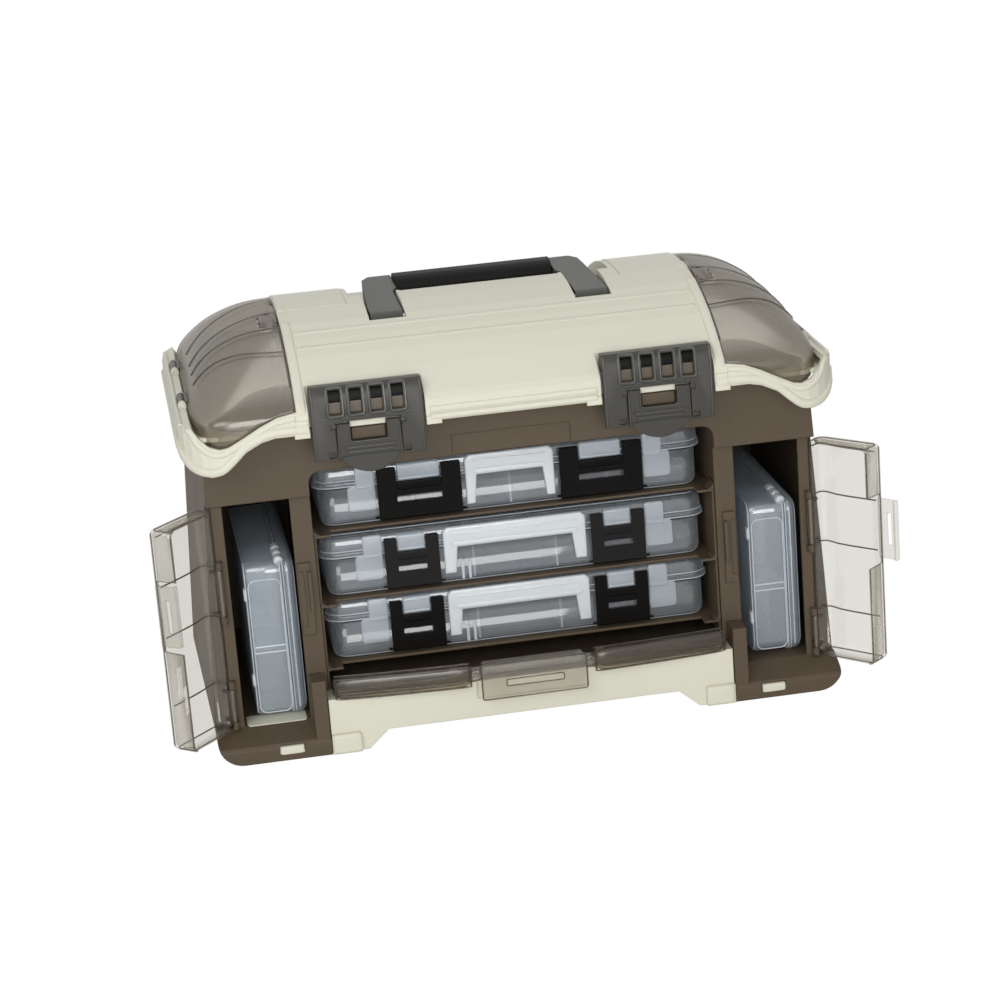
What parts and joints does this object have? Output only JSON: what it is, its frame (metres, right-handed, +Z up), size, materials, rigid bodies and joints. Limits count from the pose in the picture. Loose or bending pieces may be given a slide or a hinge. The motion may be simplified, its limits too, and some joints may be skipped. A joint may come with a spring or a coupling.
{
  "type": "fishing tackle cabinet",
  "caption": "Tackle cabinet with a domed hinged lid, clear end covers and doors, a rack of sliding utility boxes and two side bays with upright boxes.",
  "frame": {"origin": "on the floor, in the middle of the part at rest", "axes": "+X to the right as the front is seen, +Y to the back, +Z up"},
  "size_m": [0.5223, 0.273, 0.3052],
  "materials": {
    "cream_shell": "moulded satin cream plastic with a fine grain",
    "brown_housing": "moulded dark taupe plastic with a fine speckled grain",
    "grey_latch": "satin mid grey plastic",
    "black_grip": "soft black sleeve",
    "black_latch": "satin black plastic",
    "smoky_clear": "clear smoky plastic, polished",
    "milky_clear": "milky clear polypropylene",
    "steel_pin": "plain steel pin"
  },
  "bodies": {
    "cabinet": {"housing": "brown_housing", "base": "cream_shell", "box_rack": "brown_housing", "catch_plate_left": "brown_housing", "catch_plate_right": "brown_housing", "door_pins_left": "steel_pin", "door_pins_right": "steel_pin", "lid_hinge_pins": "steel_pin"},
    "lid": {"lid_shell": "cream_shell", "bin_left": "brown_housing", "bin_right": "brown_housing", "latch_mount_left": "brown_housing", "latch_mount_right": "brown_housing", "latch_pin_left": "steel_pin", "latch_pin_right": "steel_pin", "cover_pins_left": "steel_pin", "cover_pins_right": "steel_pin", "handle_pins": "steel_pin"},
    "handle": {"handle_frame": "grey_latch", "handle_grip": "black_grip"},
    "front_door_panel": {"front_door": "smoky_clear"},
    "latch_left_body": {"latch_left": "grey_latch"},
    "flap_left": {"latch_flap_left": "grey_latch"},
    "cover_left": {"end_cover_left": "smoky_clear"},
    "door_left": {"side_door_left": "smoky_clear"},
    "door_tab_left": {"door_latch_left": "smoky_clear"},
    "latch_right_body": {"latch_right": "grey_latch"},
    "flap_right": {"latch_flap_right": "grey_latch"},
    "cover_right": {"end_cover_right": "smoky_clear"},
    "door_right": {"side_door_right": "smoky_clear"},
    "door_tab_right": {"door_latch_right": "smoky_clear"},
    "side_box_left": {"side_box_left_tray": "milky_clear", "side_box_left_lid": "milky_clear", "side_box_left_divider": "milky_clear"},
    "side_box_right": {"side_box_right_tray": "milky_clear", "side_box_right_lid": "milky_clear", "side_box_right_divider": "milky_clear"},
    "box_top": {"box_top_tray": "milky_clear", "box_top_lid": "milky_clear", "box_top_dividers": "milky_clear"},
    "box_top_latch_left_body": {"box_top_latch_left": "black_latch"},
    "box_top_latch_right_body": {"box_top_latch_right": "black_latch"},
    "box_middle": {"box_middle_tray": "milky_clear", "box_middle_lid": "milky_clear", "box_middle_dividers": "milky_clear"},
    "box_middle_latch_left_body": {"box_middle_latch_left": "black_latch"},
    "box_middle_latch_right_body": {"box_middle_latch_right": "black_latch"},
    "box_bottom": {"box_bottom_tray": "milky_clear", "box_bottom_lid": "milky_clear", "box_bottom_dividers": "milky_clear"},
    "box_bottom_latch_left_body": {"box_bottom_latch_left": "black_latch"},
    "box_bottom_latch_right_body": {"box_bottom_latch_right": "black_latch"}
  },
  "joints": [
    {"name": "lid_hinge", "type": "hinge", "parent": "cabinet", "child": "lid", "pos_m": [0, 0.126, 0.231], "axis": [-1, 0, 0], "range_deg": [0, 95]},
    {"name": "handle_hinge", "type": "hinge", "parent": "lid", "child": "handle", "pos_m": [0, -0.045, 0.291], "axis": [1, 0, 0], "range_deg": [0, 87]},
    {"name": "latch_left_hinge", "type": "hinge", "parent": "lid", "child": "latch_left_body", "pos_m": [-0.101, -0.123, 0.2605], "axis": [-1, 0, 0], "range_deg": [0, 100]},
    {"name": "flap_left_hinge", "type": "hinge", "parent": "latch_left_body", "child": "flap_left", "pos_m": [-0.101, -0.1289, 0.2404], "axis": [-1, 0, 0], "range_deg": [0, 70]},
    {"name": "cover_left_hinge", "type": "hinge", "parent": "lid", "child": "cover_left", "pos_m": [-0.223, 0, 0.2505], "axis": [0, -1, 0], "range_deg": [0, 100]},
    {"name": "door_left_hinge", "type": "hinge", "parent": "cabinet", "child": "door_left", "pos_m": [-0.2115, -0.1025, 0.103], "axis": [0, 0, -1], "range_deg": [-132, 0]},
    {"name": "latch_right_hinge", "type": "hinge", "parent": "lid", "child": "latch_right_body", "pos_m": [0.101, -0.123, 0.2605], "axis": [-1, 0, 0], "range_deg": [0, 100]},
    {"name": "flap_right_hinge", "type": "hinge", "parent": "latch_right_body", "child": "flap_right", "pos_m": [0.101, -0.1289, 0.2404], "axis": [-1, 0, 0], "range_deg": [0, 70]},
    {"name": "cover_right_hinge", "type": "hinge", "parent": "lid", "child": "cover_right", "pos_m": [0.223, 0, 0.2505], "axis": [0, 1, 0], "range_deg": [0, 100]},
    {"name": "door_right_hinge", "type": "hinge", "parent": "cabinet", "child": "door_right", "pos_m": [0.2115, -0.1025, 0.103], "axis": [0, 0, 1], "range_deg": [-132, 0]},
    {"name": "side_box_left_slide", "type": "slide", "parent": "cabinet", "child": "side_box_left", "axis": [0, -1, 0], "range_m": [0, 0.19]},
    {"name": "side_box_right_slide", "type": "slide", "parent": "cabinet", "child": "side_box_right", "axis": [0, -1, 0], "range_m": [0, 0.19]},
    {"name": "front_door_slide", "type": "slide", "parent": "cabinet", "child": "front_door_panel", "axis": [0, -1, 0], "range_m": [0, 0.165]},
    {"name": "door_tab_left_hinge", "type": "hinge", "parent": "door_left", "child": "door_tab_left", "pos_m": [-0.25511, -0.12957, 0.121], "axis": [0, 0, -1], "range_deg": [0, 95]},
    {"name": "door_tab_right_hinge", "type": "hinge", "parent": "door_right", "child": "door_tab_right", "pos_m": [0.25511, -0.12957, 0.121], "axis": [0, 0, 1], "range_deg": [-95, 0]},
    {"name": "box_top_slide", "type": "slide", "parent": "cabinet", "child": "box_top", "axis": [0, -1, 0], "range_m": [0, 0.19]},
    {"name": "box_top_latch_left_hinge", "type": "hinge", "parent": "box_top", "child": "box_top_latch_left_body", "pos_m": [-0.065, -0.0844, 0.1586], "axis": [1, 0, 0], "range_deg": [0, 90]},
    {"name": "box_top_latch_right_hinge", "type": "hinge", "parent": "box_top", "child": "box_top_latch_right_body", "pos_m": [0.065, -0.0844, 0.1586], "axis": [1, 0, 0], "range_deg": [0, 90]},
    {"name": "box_middle_slide", "type": "slide", "parent": "cabinet", "child": "box_middle", "axis": [0, -1, 0], "range_m": [0, 0.19]},
    {"name": "box_middle_latch_left_hinge", "type": "hinge", "parent": "box_middle", "child": "box_middle_latch_left_body", "pos_m": [-0.0743, -0.0844, 0.107], "axis": [1, 0, 0], "range_deg": [0, 90]},
    {"name": "box_middle_latch_right_hinge", "type": "hinge", "parent": "box_middle", "child": "box_middle_latch_right_body", "pos_m": [0.0743, -0.0844, 0.107], "axis": [1, 0, 0], "range_deg": [0, 90]},
    {"name": "box_bottom_slide", "type": "slide", "parent": "cabinet", "child": "box_bottom", "axis": [0, -1, 0], "range_m": [0, 0.19]},
    {"name": "box_bottom_latch_left_hinge", "type": "hinge", "parent": "box_bottom", "child": "box_bottom_latch_left_body", "pos_m": [-0.0743, -0.0844, 0.06], "axis": [1, 0, 0], "range_deg": [0, 90]},
    {"name": "box_bottom_latch_right_hinge", "type": "hinge", "parent": "box_bottom", "child": "box_bottom_latch_right_body", "pos_m": [0.0743, -0.0844, 0.06], "axis": [1, 0, 0], "range_deg": [0, 90]}
  ]
}
